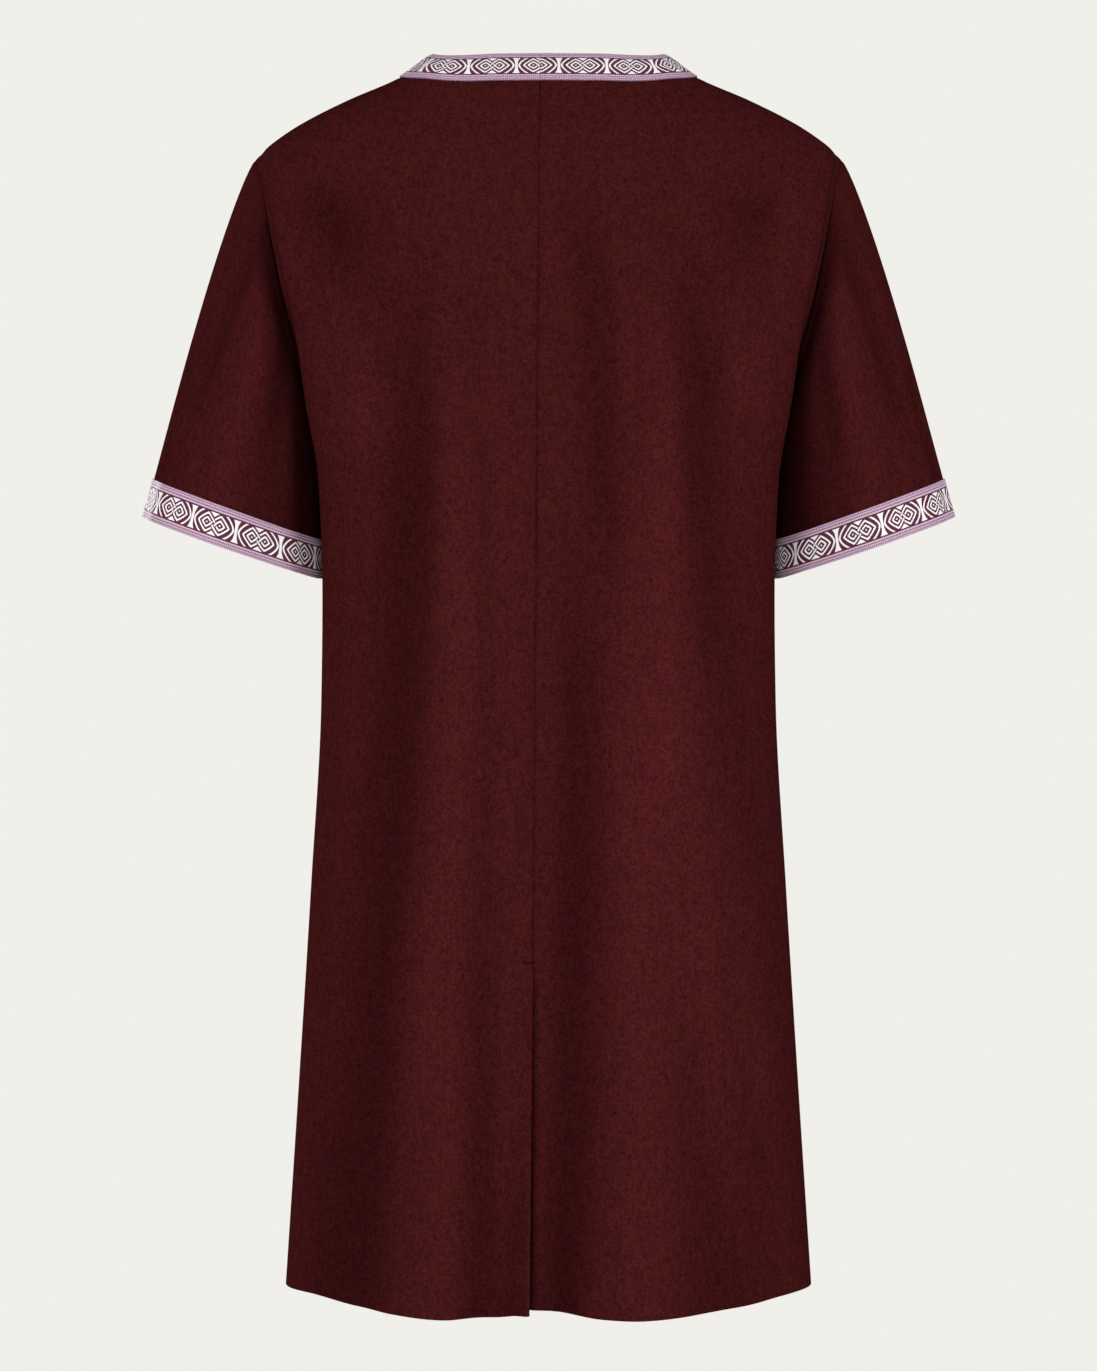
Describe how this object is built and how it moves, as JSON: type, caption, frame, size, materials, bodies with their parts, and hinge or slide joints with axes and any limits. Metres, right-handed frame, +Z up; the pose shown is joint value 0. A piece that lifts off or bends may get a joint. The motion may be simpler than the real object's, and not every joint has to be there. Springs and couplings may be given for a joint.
{
  "type": "medieval tunic",
  "caption": "Knee-length pull-on tunic with short wide sleeves, a round neckline edged with woven band, banded cuffs, a centre-back seam and a vent at the hem.",
  "frame": {"origin": "middle plane, between the shoulder seams, level with the garment's top, where the wearer's shoulders carry it", "axes": "+Z up along the garment's length, +X to the wearer's left, the front faces -Y and the back +Y"},
  "size_m": [0.6844, 0.2838, 1.0298],
  "materials": {
    "cloth": "matte plain weave, dark burgundy with a darker warp",
    "band": "jacquard ribbon, pale interlace on burgundy between lilac borders"
  },
  "bodies": {
    "root": {"back_left": "cloth", "back_right": "cloth", "front": "cloth", "sleeve_left": "cloth", "sleeve_right": "cloth", "neck_trim": "band", "cuff_trim_left": "band", "cuff_trim_right": "band"}
  },
  "joints": []
}
